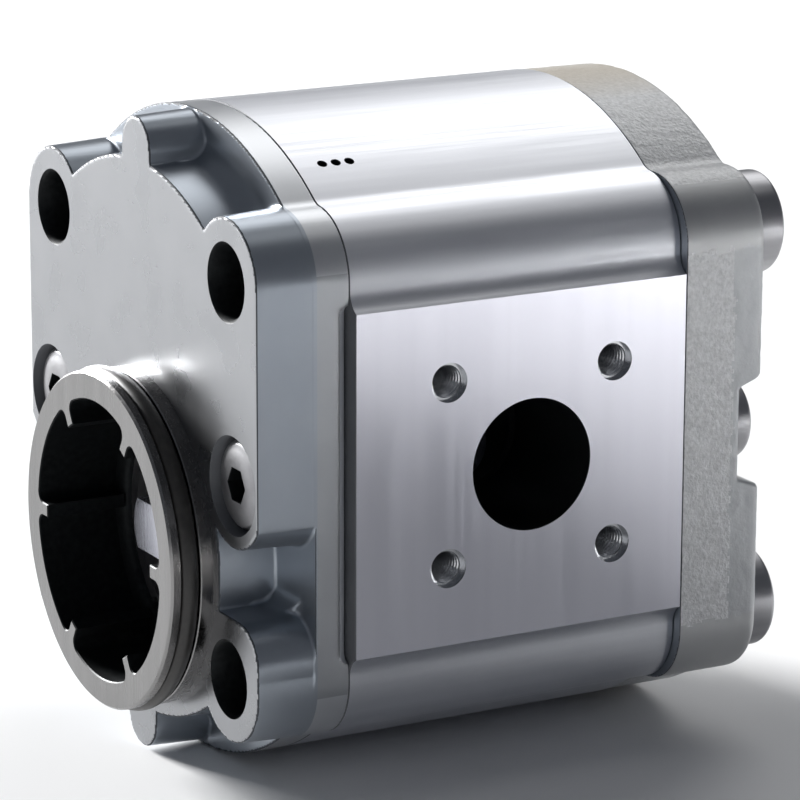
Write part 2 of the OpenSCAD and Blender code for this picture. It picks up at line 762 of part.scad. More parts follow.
module rear_clamp_screws() {
  color([0.2, 0.2, 0.22]) at_clamps()
    socket_screw(clamp_screw_d, clamp_screw_l, clamp_head_d, clamp_head_h, clamp_socket, notch_y, 1);
}

module through_screws() {
  color([0.2, 0.2, 0.22]) at_corners()
    socket_screw(through_screw_d, through_screw_l, through_head_d, through_head_h, through_socket, back_y, 1);
}

module dowel(y) {
  turned(0, 0) polygon([[0, y - dowel_l / 2], [dowel_d / 2 - 0.4, y - dowel_l / 2],
    [dowel_d / 2, y - dowel_l / 2 + 0.4], [dowel_d / 2, y + dowel_l / 2 - 0.4],
    [dowel_d / 2 - 0.4, y + dowel_l / 2], [0, y + dowel_l / 2]]);
}

module front_dowel_pins() {
  color([0.7, 0.7, 0.72]) at_dowels() dowel(body_y);
}

module rear_dowel_pins() {
  color([0.7, 0.7, 0.72]) at_dowels() dowel(rear_y);
}

front_cover();
pump_body();
rear_cover();
drive_gear_shaft();
driven_gear_shaft();
front_bearing_block();
rear_bearing_block();
front_drive_bush();
front_driven_bush();
rear_drive_bush();
rear_driven_bush();
front_axial_seal();
rear_axial_seal();
front_backup_ring();
rear_backup_ring();
front_body_seal();
rear_body_seal();
shaft_seal();
garter_spring();
seal_snap_ring();
pilot_o_ring();
front_clamp_screws();
rear_clamp_screws();
through_screws();
front_dowel_pins();
rear_dowel_pins();
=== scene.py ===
"""Looks of the gear pump: cast covers, extruded body, machined pilot, screws, threads and seals."""

import json
import math

import bmesh
import bpy
import numpy as np
import openvdb
from mathutils import Matrix, Vector, noise


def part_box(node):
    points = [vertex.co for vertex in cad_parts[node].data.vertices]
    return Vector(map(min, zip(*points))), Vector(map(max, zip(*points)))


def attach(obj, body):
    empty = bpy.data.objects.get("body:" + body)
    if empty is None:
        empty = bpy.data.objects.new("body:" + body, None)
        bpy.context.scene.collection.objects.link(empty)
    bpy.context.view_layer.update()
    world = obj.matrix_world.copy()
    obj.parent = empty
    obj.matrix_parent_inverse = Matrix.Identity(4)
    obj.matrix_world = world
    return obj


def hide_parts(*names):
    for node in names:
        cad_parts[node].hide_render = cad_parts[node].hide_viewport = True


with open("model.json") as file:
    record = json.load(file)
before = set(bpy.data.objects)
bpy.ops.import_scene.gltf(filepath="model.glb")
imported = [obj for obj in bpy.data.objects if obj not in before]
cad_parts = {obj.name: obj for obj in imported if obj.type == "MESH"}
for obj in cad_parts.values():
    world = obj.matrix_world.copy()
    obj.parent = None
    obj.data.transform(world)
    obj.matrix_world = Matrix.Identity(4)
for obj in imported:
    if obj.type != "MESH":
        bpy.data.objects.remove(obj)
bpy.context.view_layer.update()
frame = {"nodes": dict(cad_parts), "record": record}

# Shapes are drawn in millimetres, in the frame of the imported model, and scaled when a mesh is made
MM = 0.001


def span(node):
    """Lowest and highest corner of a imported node, in millimetres."""
    low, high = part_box(node)
    return low / MM, high / MM


mounts = {mount["name"]: mount for mount in frame["record"]["mounts"]}
cover_low, cover_high = span("front_cover")
body_low, body_high = span("pump_body")
rear_low, rear_high = span("rear_cover")

# Housing
MID_Z = (body_low.z + body_high.z) / 2
CROWN_R = (body_high.z - body_low.z) / 2
BOLT = mounts["corner_holes"]["dims"]["spacing_x_mm"] / 2
COVER_SIDE = cover_high.x
REAR_SIDE = rear_high.x
LOBE_R = COVER_SIDE - BOLT
LOBE_BLEND_R = 4.0
EDGE_R = 0.15
# Grids and cutting shapes reach this far past the metal
BEYOND = 1

# Grids on which the castings are meshed
GRID_STEP = 0.4
FINE_STEP = 0.08
FINE_LINES = 7

# Front cover
FLANGE_THICK = 5.5
FLANGE_Y = cover_high.y - FLANGE_THICK
SCALLOP_R = 43.4
LOWER_ARCH_REACH = 3
RIB_HALF_W = 5.2
RIB_INSET = 0.2
RIB_TOP = CROWN_R - RIB_INSET - RIB_HALF_W
LUG_R = 9.9
CLAMP_X = 31.7
BOSS_R = 27.5
SHOULDER_R = 6.7
CAST_FILLET = 0.5
ARCH_FILLET = 3.0
FACE_EDGE_R = 0.2
DRAFT = 0.045
BEVEL = 1.5
BEVEL_PAST_PAD = 1
BEVEL_CORNER_R = 1.2
BEVEL_EDGE_R = 0.2

# Holes in the front cover
MOUNT_HOLE_R = mounts["corner_holes"]["dims"]["hole_r_mm"]
MOUNT_HOLE_DEPTH = 5
COUNTERSINK = 0.5
TAPPED_R = 5.02
CLAMP_POCKET_R = 7.4
CLAMP_MOUTH_Y = 0.1
CLAMP_HOLE_R = 4.3
CLAMP_SEAT_Y = 6.2
SEAL_R = 18.2
SEAL_LEAD = 0.8
SEAL_SEAT_Y = 12.7
SHAFT_HOLE_R = 9.3

# Pilot and socket
PILOT_R = mounts["pilot"]["dims"]["r_mm"]
PILOT_Y = cover_low.y
PILOT_BEVEL = 0.35
PILOT_FOOT_Y = 0.3
SLEEVE_STEP = 1
SLEEVE_R = PILOT_R - SLEEVE_STEP
BLANK_R = 10
SOCKET_R = 21.7
SOCKET_Y = 6.0
SOCKET_BEVEL = 0.18
TAB_COUNT = 6
TAB_TIP_R = 18.35
TAB_HALF_W = 1.05
TAB_FILLET = 1.5
GROOVE = (-5.7, -2.4)
GROOVE_DEPTH = 2.4
GROOVE_LIP = 0.15
RING_R = 1.55
RING_CENTRE_R = PILOT_R - 1.0

# Body and ports
PAD_X = body_high.x
PAD_HALF_W = 26.0
PAD_BLEND_R = 3.5
CHAMBER_R = 18.5
SCREW_HOLE_R = 5.3
PORT_Y = mounts["port_right"]["pos_m"][1] / MM
PORT_R = mounts["port_right"]["dims"]["r_mm"]
PORT_DEPTH = mounts["port_right"]["dims"]["length_mm"]
PORT_BEVEL = 0.12
PASSAGE_R = 9.0
PASSAGE_START_X = 4
THREAD_STEP = mounts["port_right_screws"]["dims"]["spacing_x_mm"] / 2
THREAD_R = mounts["port_right_screws"]["dims"]["hole_r_mm"]
THREAD_DEPTH = 13.0
THREAD_START = 1.0
THREAD_LEAD = 0.15
THREAD_CORE_R = 2.5
THREAD_PITCH = 0.8
THREAD_HEIGHT = 0.3
THREAD_OVERLAP = 0.02
DRILL_STEP = 0.2
DRILL_POINT = 1.5
DRILL_POINT_R = 0.4

# Dimples on top of the body
DIMPLE_COUNT = 3
DIMPLE_ANGLE = 62.6
DIMPLE_FIRST = 4.6
DIMPLE_STEP = 2.25
DIMPLE_R = 0.7
DIMPLE_DEPTH = 0.9
DIMPLE_RIM_R = 0.82
DIMPLE_RIM = (-0.08, 0.04)

# Rear cover
BACK_EDGE_R = 1.7
NOTCH_DEPTH = 4.3
NOTCH_HALF_H = 7.1
NOTCH_FLARE = 1.6
NOTCH_REACH = 8
NOTCH_EDGE_R = 0.7
SKIN_INSET = 0.11
BACK_INSET = 0.04
GRAIN_HEIGHT = 0.04
BACK_GRAIN = 0.4
WAVE_HEIGHT = 0.03
LOBE_FADE = 2
LOBE_SMOOTHING = 0.9

# Screws, with the width across the flats of their sockets
TIP_BEVEL = 0.6
HEAD_ROUNDING = 1.0
SOCKET_MOUTH = 0.1
SOCKET_DEPTH = 0.6
SOCKET_POINT_DEPTH = 0.75
SOCKET_RIM = 1.2
CLAMP_LENGTH = 25
THROUGH_TIP_Y = 5.6
FRONT_CLAMP = {"d": 8, "head_d": 13.4, "head_h": 5.6, "socket_w": 4.8, "dome": 0.45}
REAR_CLAMP = {"d": 8, "head_d": 13, "head_h": 5, "socket_w": 5, "dome": 0.05}
THROUGH = {"d": 10, "head_d": 16, "head_h": 6, "socket_w": 7, "dome": 0.05}

# Regions of a casting that get their own material: how squarely their faces look along an axis
FACING = 0.985
PAD_FACING = 0.999
FLAT_FACING = 0.9995
JOINT_FACING = 0.9
BEVEL_FACING = 0.3
EDGE_FACING = 0.12
SIDEWAYS = 0.5
# Widths and places of those regions
FACE_SNAP = 0.03
FACE_BAND = 0.1
EDGE_BAND = (-0.02, 0.25)
SEAM_W = 0.12
REAR_SEAM_W = 0.15
RIM_START = 0.3
LAND_END_Y = 0.5
REAR_LOBE_TOP = 8.5
REAR_LOBE_WAVES = 0.9
REAR_RIM_W = 2
REAR_RIM_WAVES = 0.7
PARTING_Y = rear_low.y + 8.6
PARTING_WAVE = 0.7


def mesh_object(name, points, faces, material):
    """Piece made of points in millimetres, with its faces turned outwards."""
    mesh = bpy.data.meshes.new(name)
    mesh.from_pydata((np.asarray(points, float) * MM).tolist(), [], faces)
    mesh.materials.append(material)
    shape = bmesh.new()
    shape.from_mesh(mesh)
    bmesh.ops.recalc_face_normals(shape, faces=shape.faces)
    shape.to_mesh(mesh)
    shape.free()
    piece = bpy.data.objects.new(name, mesh)
    bpy.context.scene.collection.objects.link(piece)
    return piece


def loft(name, rings, material, closed=False):
    """Skin through rings of equally many points, capped at both ends or joined into a loop."""
    count = len(rings[0])
    points = [point for ring in rings for point in ring]
    faces = []
    pairs = len(rings) if closed else len(rings) - 1
    for i in range(pairs):
        a, b = i * count, (i + 1) % len(rings) * count
        faces += [(a + j, a + (j + 1) % count, b + (j + 1) % count, b + j) for j in range(count)]
    if not closed:
        last = (len(rings) - 1) * count
        faces += [tuple(reversed(range(count))), tuple(range(last, last + count))]
    return mesh_object(name, points, faces, material)


def circle(x, y, z, r, axis="y", count=128):
    """Ring of points about an axis along Y or X."""
    angles = [2 * math.pi * i / count for i in range(count)]
    if axis == "y":
        return [(x + r * math.cos(a), y, z + r * math.sin(a)) for a in angles]
    return [(x, y + r * math.cos(a), z + r * math.sin(a)) for a in angles]


def turned(name, x, z, profile, material, closed=False, count=128):
    """Solid turned about an axis along Y at x and z, from a profile of radius and y."""
    rings = [circle(x, y, z, r, count=count) for r, y in profile]
    return loft(name, rings, material, closed)


def cross_drilled(name, y, z, profile, side, material, count=96):
    """Solid turned about an axis along X, from a profile of radius and distance from the middle."""
    rings = [circle(side * x, y, z, r, "x", count) for r, x in profile]
    return loft(name, rings, material)


def arc(x, z, r, start, end, step=2.5):
    """Points of an arc from one angle to another, in degrees."""
    count = max(2, round(abs(end - start) / step))
    angles = [math.radians(start + (end - start) * i / count) for i in range(count + 1)]
    return [(x + r * math.cos(a), z + r * math.sin(a)) for a in angles]


def inset(outline, distance):
    """Outline with each corner moved inwards along its mitre."""
    points = np.array(outline, float)
    before = points - np.roll(points, 1, axis=0)
    after = np.roll(points, -1, axis=0) - points
    left = [np.stack([-edge[:, 1], edge[:, 0]], 1) / np.linalg.norm(edge, axis=1)[:, None]
            for edge in (before, after)]
    mitre = left[0] + left[1]
    mitre *= distance / np.maximum((mitre * left[0]).sum(1), 0.5)[:, None]
    return [tuple(point) for point in points + mitre]


def prism(name, sections, material):
    """Solid through outlines in the X-Z plane, given as pairs of y and outline about the pump's middle."""
    return loft(name, [[(x, y, MID_Z + z) for x, z in outline] for y, outline in sections], material)


def joined(pieces):
    """One object made of several."""
    bpy.ops.object.select_all(action="DESELECT")
    for piece in pieces:
        piece.select_set(True)
    bpy.context.view_layer.objects.active = pieces[0]
    bpy.ops.object.join()
    return pieces[0]


def cut(piece, tools):
    """Takes the tools' shapes out of a piece. Cut faces keep the tools' materials."""
    tool = joined(tools) if len(tools) > 1 else tools[0]
    modifier = piece.modifiers.new("cut", "BOOLEAN")
    modifier.operation = "DIFFERENCE"
    modifier.solver = "EXACT"
    modifier.material_mode = "TRANSFER"
    modifier.object = tool
    evaluated = piece.evaluated_get(bpy.context.evaluated_depsgraph_get())
    mesh = bpy.data.meshes.new_from_object(evaluated)
    piece.modifiers.clear()
    piece.data = mesh
    bpy.data.objects.remove(tool)


def repaint(piece, material, chosen):
    """Gives another material to the faces whose middle, in millimetres, and normal are chosen."""
    first = piece.data.materials[0]
    piece.data.materials.append(material)
    index = len(piece.data.materials) - 1
    for face in piece.data.polygons:
        if piece.data.materials[face.material_index] == first and chosen(face.center / MM, face.normal):
            face.material_index = index


def finished(piece, slot, *nodes, body="housing", angle=32):
    """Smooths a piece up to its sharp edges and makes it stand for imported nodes."""
    piece.data.shade_smooth()
    piece.data.set_sharp_from_angle(angle=math.radians(angle))
    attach(piece, body)
    if nodes:
        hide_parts(*nodes)


# Outlines

def quarter_outline(side):
    """Upper right quarter of the housing: flat side, corner lobe, blend and crown."""
    lobe = np.array([side - LOBE_R, BOLT])
    reach = float(np.linalg.norm(lobe))
    crown, corner = CROWN_R + LOBE_BLEND_R, LOBE_R + LOBE_BLEND_R
    along = (crown ** 2 - corner ** 2 + reach ** 2) / (2 * reach)
    unit = lobe / reach
    blend = unit * along + np.array([-unit[1], unit[0]]) * math.sqrt(crown ** 2 - along ** 2)
    to_blend = math.degrees(math.atan2(*(blend - lobe)[::-1]))
    crown_angle = math.degrees(math.atan2(blend[1], blend[0]))
    points = arc(*lobe, LOBE_R, 0, to_blend)
    points += arc(*blend, LOBE_BLEND_R, to_blend + 180, crown_angle + 180, 5)[1:]
    points += arc(0, 0, CROWN_R, crown_angle, 90, 1)[1:]
    return points


def whole_outline(quarter):
    """Closed outline from its upper right quarter, which runs from the side to the top."""
    right = [(x, -z) for x, z in reversed(quarter)] + quarter
    return right + [(-x, z) for x, z in reversed(right[1:-1])]


def body_outline():
    """Section of the extruded body, with a port pad on each side."""
    rise = PAD_X - COVER_SIDE
    run = math.sqrt(PAD_BLEND_R ** 2 - (PAD_BLEND_R - rise) ** 2)
    start = 180 + math.degrees(math.atan2(run, PAD_BLEND_R - rise))
    blend = arc(COVER_SIDE + PAD_BLEND_R, PAD_HALF_W + run, PAD_BLEND_R, start, 180, 6)
    return whole_outline([(PAD_X, PAD_HALF_W)] + blend[1:] + quarter_outline(COVER_SIDE))


def socket_outline():
    """Inside of the pilot, with its tabs, about the drive axis."""
    points = []
    pitch = 360 / TAB_COUNT
    half = math.degrees(math.asin(TAB_HALF_W / TAB_TIP_R))
    centre_r = SOCKET_R - TAB_FILLET
    offset = TAB_HALF_W + TAB_FILLET
    fillet_angle = math.degrees(math.asin(offset / centre_r))
    tab = arc(0, 0, TAB_TIP_R, -half, half, 2)
    fillet = arc(centre_r * math.cos(math.radians(fillet_angle)), offset, TAB_FILLET, -90, fillet_angle, 12)
    pocket = arc(0, 0, SOCKET_R, fillet_angle, pitch - fillet_angle)
    across = [(x * math.cos(math.radians(pitch)) + z * math.sin(math.radians(pitch)),
               x * math.sin(math.radians(pitch)) - z * math.cos(math.radians(pitch)))
              for x, z in reversed(fillet)]
    for i in range(TAB_COUNT):
        c, s = math.cos(math.radians(pitch * i)), math.sin(math.radians(pitch * i))
        points += [(x * c - z * s, x * s + z * c) for x, z in tab + fillet + pocket[1:-1] + across]
    return points


# Cast forms are drawn as distances on a grid, which blend smoothly, and then meshed

def outline_distance(outline, x, z):
    """Signed distance from a closed outline, negative inside."""
    nearest = np.full(x.shape, np.inf)
    inside = np.zeros(x.shape, bool)
    for (ax, az), (bx, bz) in zip(outline, outline[1:] + outline[:1]):
        ex, ez = bx - ax, bz - az
        t = np.clip(((x - ax) * ex + (z - az) * ez) / (ex * ex + ez * ez), 0, 1)
        nearest = np.minimum(nearest, (x - ax - t * ex) ** 2 + (z - az - t * ez) ** 2)
        if ez:
            inside ^= ((az > z) != (bz > z)) & (x < ax + (z - az) * ex / ez)
    return np.where(inside, -1, 1) * np.sqrt(nearest)


def disc(x, z, cx, cz, r):
    return np.hypot(x - cx, z - cz) - r


def rounded_meet(a, b, r):
    """Overlap of two forms, with its edge rounded to radius r."""
    return np.minimum(-r, np.maximum(a, b)) + np.hypot(np.maximum(a + r, 0), np.maximum(b + r, 0))


def filleted_join(a, b, r):
    """Union of two forms, with a fillet of radius r between them."""
    return np.maximum(r, np.minimum(a, b)) - np.hypot(np.maximum(r - a, 0), np.maximum(r - b, 0))


def value_noise(x, y, z, size, seed, period=32):
    """Smooth noise from -1 to 1, with grains of the given size."""
    lattice = np.random.RandomState(seed).rand(period, period, period) * 2 - 1
    total = 0
    cells = [np.floor(v / size).astype(int) for v in (x, y, z)]
    parts = [v / size - cell for v, cell in zip((x, y, z), cells)]
    parts = [p * p * (3 - 2 * p) for p in parts]
    for i in (0, 1):
        for j in (0, 1):
            for k in (0, 1):
                weight = ((parts[0] if i else 1 - parts[0]) * (parts[1] if j else 1 - parts[1])
                          * (parts[2] if k else 1 - parts[2]))
                corner = lattice[(cells[0] + i) % period, (cells[1] + j) % period, (cells[2] + k) % period]
                total = total + weight * corner
    return total


def grid_levels(low, high, *edges):
    """Grid coordinates from low to high and a little past them, closer together round each edge."""
    low, high = low - BEYOND, high + BEYOND
    coarse = np.arange(low, high + GRID_STEP, GRID_STEP)
    lines = np.arange(-FINE_LINES, FINE_LINES + 1) * FINE_STEP
    fine = np.concatenate([edge + lines for edge in edges] or [[]])
    reach = (FINE_LINES + 1) * FINE_STEP
    coarse = coarse[[all(abs(v - edge) > reach for edge in edges) for v in coarse]]
    return np.unique(np.round(np.concatenate([coarse, fine]), 4))


def cast_mesh(name, axes, form, material):
    """Meshes a form, given by its distance function, on a grid about the pump's middle."""
    x, y, z = np.meshgrid(*axes, indexing="ij", sparse=True)
    field = form(x, y, z).astype(np.float32)
    grid = openvdb.FloatGrid(float(field.max()))
    grid.copyFromArray(field)
    points, triangles, quads = grid.convertToPolygons(isovalue=0.0, adaptivity=0.0)
    points = np.stack([np.interp(points[:, i], np.arange(len(axes[i])), axes[i]) for i in range(3)], 1)
    points[:, 2] += MID_Z
    return mesh_object(name, points, triangles.tolist() + quads.tolist(), material)


def arch_distance(x, z):
    """Middle of the front cover's face, above and below."""
    disc_edge = disc(x, z, 0, 0, SCALLOP_R)
    upper = np.maximum(disc_edge, np.maximum(np.abs(x) - BOLT - LOBE_R / 2, -z))
    lower = np.maximum(disc_edge, np.maximum(np.abs(x) - BOLT - LOWER_ARCH_REACH, z + BOLT - LOBE_R))
    return np.minimum(upper, lower)


def boss_distance(x, z):
    """Corner lobes, straight sides, lugs, ribs and the pilot's boss of the front cover's face."""
    across, height = np.abs(x), np.abs(z)
    parts = [
        np.maximum(across - COVER_SIDE, np.abs(z - BOLT / 2) - BOLT / 2),
        disc(x, z, 0, -MID_Z, BOSS_R),
        disc(across, height, BOLT, BOLT, LOBE_R),
        disc(across, z, CLAMP_X, 0, LUG_R),
        disc(across, z, COVER_SIDE - SHOULDER_R, -BOLT + LOBE_R - SHOULDER_R, SHOULDER_R),
        disc(x, height, 0, RIB_TOP, RIB_HALF_W),
        np.maximum(across - RIB_HALF_W, height - RIB_TOP),
    ]
    boss = parts[0]
    for part in parts[1:]:
        boss = np.minimum(boss, part)
    return np.maximum(boss, across - COVER_SIDE)


def side_distance(side, x, z):
    """Distance from the housing's outline, the same at every y."""
    flat = np.broadcast_arrays(x[:, 0, :], z[:, 0, :])
    return outline_distance(whole_outline(quarter_outline(side)), *flat)[:, None, :]


def front_cover_form(x, y, z):
    """Flange with a raised face, whose pockets are drafted, and a bevel towards each port pad."""
    outline = side_distance(COVER_SIDE, x, z)
    flat = np.broadcast_arrays(x[:, 0, :], z[:, 0, :])
    draft = DRAFT * np.maximum(FLANGE_Y - y, 0)
    flange = rounded_meet(outline, FLANGE_Y - y, EDGE_R)
    form = flange
    for face, fillet in ((arch_distance(*flat), ARCH_FILLET), (boss_distance(*flat), CAST_FILLET)):
        nose = rounded_meet(face[:, None, :] + draft, -y, FACE_EDGE_R)
        form = np.minimum(form, filleted_join(nose, flange, fillet))
    form = np.maximum(form, outline)
    bevel = (np.abs(x) + y - COVER_SIDE - cover_high.y + BEVEL) / math.sqrt(2)
    bevel = rounded_meet(-bevel, np.abs(z) - PAD_HALF_W - BEVEL_PAST_PAD, BEVEL_CORNER_R)
    form = rounded_meet(form, -bevel, BEVEL_EDGE_R)
    return rounded_meet(form, y - cover_high.y, EDGE_R)


def rear_cover_form(x, y, z):
    """Rough block with smoother corner lobes and a flared notch on each side."""
    front, back = rear_low.y, rear_high.y
    across, height = np.abs(x), np.abs(z)
    lobes = disc(across, height, REAR_SIDE - LOBE_R, BOLT, LOBE_R)
    smooth = np.clip(1 - lobes / LOBE_FADE, 0, 1) * np.clip(height - BOLT + 1, 0, 1)
    rough = 1 - LOBE_SMOOTHING * smooth
    grain = value_noise(x, y, z, size=1.5, seed=3) + value_noise(x, y, z, size=0.8, seed=4)
    grain = grain * GRAIN_HEIGHT
    waves = value_noise(x, y, z, size=9, seed=5) * WAVE_HEIGHT
    side = side_distance(REAR_SIDE, x, z) + SKIN_INSET + grain * rough + waves
    form = rounded_meet(side, y - back + BACK_INSET + grain * BACK_GRAIN, BACK_EDGE_R)
    floor_y = back - NOTCH_DEPTH
    flare = NOTCH_HALF_H + NOTCH_FLARE * (y - floor_y) / NOTCH_DEPTH
    notch = np.maximum(floor_y - y, np.maximum(height - flare, CLAMP_X - NOTCH_REACH - across))
    form = rounded_meet(form, -notch, NOTCH_EDGE_R)
    return rounded_meet(form, front - y, EDGE_R)


# Materials

EVEN, ALONG_Y, ALONG_Z = (1, 1, 1), (1, 60, 1), (1, 1, 60)
# Most values of a noise lie between these
USUAL_NOISE = (0.3, 0.7)
# Painted warm light, a tint of the rear cover's top and bottom, its largest share and the heights where it
# begins and is full
PAINTED_WARM_LIGHT = (0.46, 0.40, 0.31)
PAINTED_WARM_SHARE = 0.8
PAINTED_WARM_HEIGHTS = (CROWN_R - 2.2, CROWN_R + 0.3)


def new_material(name, colour, roughness, metallic):
    """Principled material with its plain values set. Returns it with its tree and its shader."""
    material = bpy.data.materials.new(name)
    material.use_nodes = True
    tree = material.node_tree
    shader = tree.nodes["Principled BSDF"]
    shader.inputs["Base Color"].default_value = (*colour, 1)
    shader.inputs["Roughness"].default_value = roughness
    shader.inputs["Metallic"].default_value = metallic
    return material, tree, shader


def grain_noise(tree, stretch, scale, detail):
    """Noise whose grains are scale per millimetre, drawn out along the axes by stretch."""
    place = tree.nodes.new("ShaderNodeTexCoord")
    mapping = tree.nodes.new("ShaderNodeMapping")
    mapping.inputs["Scale"].default_value = [scale / MM / s for s in stretch]
    grains = tree.nodes.new("ShaderNodeTexNoise")
    grains.inputs["Scale"].default_value = 1
    grains.inputs["Detail"].default_value = detail
    tree.links.new(place.outputs["Object"], mapping.inputs["Vector"])
    tree.links.new(mapping.outputs["Vector"], grains.inputs["Vector"])
    return grains.outputs["Fac"]


def ranged(tree, value, low, high, source=USUAL_NOISE):
    """Value spread from low to high."""
    node = tree.nodes.new("ShaderNodeMapRange")
    node.inputs["From Min"].default_value, node.inputs["From Max"].default_value = source
    node.inputs["To Min"].default_value, node.inputs["To Max"].default_value = low, high
    tree.links.new(value, node.inputs["Value"])
    return node.outputs["Result"]


def mixed(tree, factor, first, second):
    """Colour between two, each a socket or three numbers."""
    node = tree.nodes.new("ShaderNodeMix")
    node.data_type = "RGBA"
    tree.links.new(factor, node.inputs["Factor"])
    for socket, colour in zip((node.inputs["A"], node.inputs["B"]), (first, second)):
        if isinstance(colour, tuple):
            socket.default_value = (*colour, 1)
        else:
            tree.links.new(colour, socket)
    return node.outputs["Result"]


def bumped(tree, shader, height, distance_mm):
    """Adds fine relief to a shader."""
    bump = tree.nodes.new("ShaderNodeBump")
    bump.inputs["Strength"].default_value = 1
    bump.inputs["Distance"].default_value = distance_mm * MM
    tree.links.new(height, bump.inputs["Height"])
    tree.links.new(bump.outputs["Normal"], shader.inputs["Normal"])


def painted_warm_share(tree):
    """How much painted warm light a place gets: some at the very top and bottom of the housing."""
    place = tree.nodes.new("ShaderNodeTexCoord")
    parts = tree.nodes.new("ShaderNodeSeparateXYZ")
    above, away = tree.nodes.new("ShaderNodeMath"), tree.nodes.new("ShaderNodeMath")
    above.operation, away.operation = "SUBTRACT", "ABSOLUTE"
    above.inputs[1].default_value = MID_Z * MM
    tree.links.new(place.outputs["Object"], parts.inputs[0])
    tree.links.new(parts.outputs["Z"], above.inputs[0])
    tree.links.new(above.outputs[0], away.inputs[0])
    return ranged(tree, away.outputs[0], 0, PAINTED_WARM_SHARE, [height * MM for height in PAINTED_WARM_HEIGHTS])


def cast_metal(name, dark, light, roughness, relief, metallic, scale=2.2, mottle=0.12, painted_warm=False):
    """Blasted or cast metal: uneven colour with mottle patches per millimetre, and a grain. Where asked, a
    painted warm light tints the top and bottom.
    """
    material, tree, shader = new_material(name, light, roughness, metallic)
    cloud = grain_noise(tree, EVEN, mottle, 3)
    fine = grain_noise(tree, EVEN, scale, 3)
    colour = mixed(tree, ranged(tree, cloud, 0, 1), dark, light)
    # Painted light: a warm tint at the very top and bottom
    if painted_warm:
        colour = mixed(tree, painted_warm_share(tree), colour, PAINTED_WARM_LIGHT)
    tree.links.new(colour, shader.inputs["Base Color"])
    tree.links.new(ranged(tree, cloud, roughness - 0.02, roughness + 0.02), shader.inputs["Roughness"])
    bumped(tree, shader, fine, relief)
    return material


def drawn_metal(name, dark, light, roughness, stretch, scale, relief, anisotropic=0.0):
    """Metal with fine lines that a tool or die has drawn along one direction."""
    material, tree, shader = new_material(name, light, roughness, 1.0)
    if anisotropic:
        tangent = tree.nodes.new("ShaderNodeTangent")
        tangent.direction_type, tangent.axis = "RADIAL", "Y"
        tree.links.new(tangent.outputs["Tangent"], shader.inputs["Tangent"])
        shader.inputs["Anisotropic"].default_value = anisotropic
    lines = grain_noise(tree, stretch, scale, 5)
    broad = grain_noise(tree, stretch, scale / 6, 2)
    tree.links.new(mixed(tree, ranged(tree, broad, 0, 1), dark, light), shader.inputs["Base Color"])
    tree.links.new(ranged(tree, lines, roughness - 0.04, roughness + 0.05), shader.inputs["Roughness"])
    bumped(tree, shader, lines, relief)
    return material


def dull(name, dark, light, roughness, relief, metallic=0.0, gloss=0.5):
    """Rubber, plastic, plain metal, or the near-black painted shade of a bore or an edge, with slight
    mottling.
    """
    material, tree, shader = new_material(name, light, roughness, metallic)
    shader.inputs["Specular IOR Level"].default_value = gloss
    fine = grain_noise(tree, EVEN, 1, 4)
    tree.links.new(mixed(tree, ranged(tree, fine, 0, 1), dark, light), shader.inputs["Base Color"])
    tree.links.new(ranged(tree, fine, roughness - 0.05, roughness + 0.05), shader.inputs["Roughness"])
    bumped(tree, shader, fine, relief)
    return material


# One casting has several metals by region. They stand for how the regions look in the photograph
cover_metal = cast_metal("front_cover_metal", (0.324, 0.355, 0.396), (0.348, 0.379, 0.42),
                         roughness=0.31, relief=0.0004, metallic=0.85)
mount_metal = cast_metal("mounting_face_metal", (0.347, 0.355, 0.37), (0.37, 0.377, 0.392),
                         roughness=0.28, relief=0.00005, metallic=1.0)
strip_metal = cast_metal("flange_side_metal", (0.358, 0.37, 0.386), (0.392, 0.403, 0.42),
                         roughness=0.36, relief=0.0004, metallic=0.9)
# Painted highlight: the flange's rim all round its outline is lighter than the rest of the cover
rim_painted_highlight = cast_metal("flange_rim_painted_highlight", (0.537, 0.55, 0.569), (0.587, 0.6, 0.619),
                       roughness=0.36, relief=0.0004, metallic=0.9)
body_metal = drawn_metal("body_metal", (0.624, 0.636, 0.672), (0.684, 0.696, 0.732),
                         roughness=0.33, stretch=ALONG_Y, scale=2.5, relief=0.0006, anisotropic=0.8)
pad_metal = drawn_metal("pad_metal", (0.648, 0.648, 0.713), (0.702, 0.702, 0.767),
                        roughness=0.15, stretch=ALONG_Z, scale=1.2, relief=0.0009)
# The rear cover's metal carries a painted warm light at its top and bottom
rear_metal = cast_metal("rear_cover_metal", (0.506, 0.512, 0.517), (0.69, 0.696, 0.701),
                        roughness=0.5, relief=0.14, metallic=0.6, scale=1.9, mottle=1.4, painted_warm=True)
lobe_metal = cast_metal("rear_lobe_metal", (0.425, 0.431, 0.437), (0.46, 0.466, 0.471),
                        roughness=0.46, relief=0.004, metallic=0.9, scale=1.2)
rear_rim_metal = cast_metal("rear_rim_metal", (0.414, 0.425, 0.437), (0.471, 0.483, 0.494),
                            roughness=0.45, relief=0.05, metallic=0.6, scale=1.4)
# Painted highlight: the bevel towards each port pad is much lighter than the cover
bevel_painted_highlight = cast_metal("flange_bevel_painted_highlight", (0.734, 0.756, 0.799), (0.778, 0.799, 0.842),
                         roughness=0.65, relief=0.001, metallic=0.4)
# Painted shade: a dark band along the edges of the mounting face and of the flange's face
edge_painted_shade = dull("cover_edge_shade", (0.060, 0.065, 0.073), (0.080, 0.086, 0.096),
                  roughness=0.6, relief=0.001, gloss=0.1)
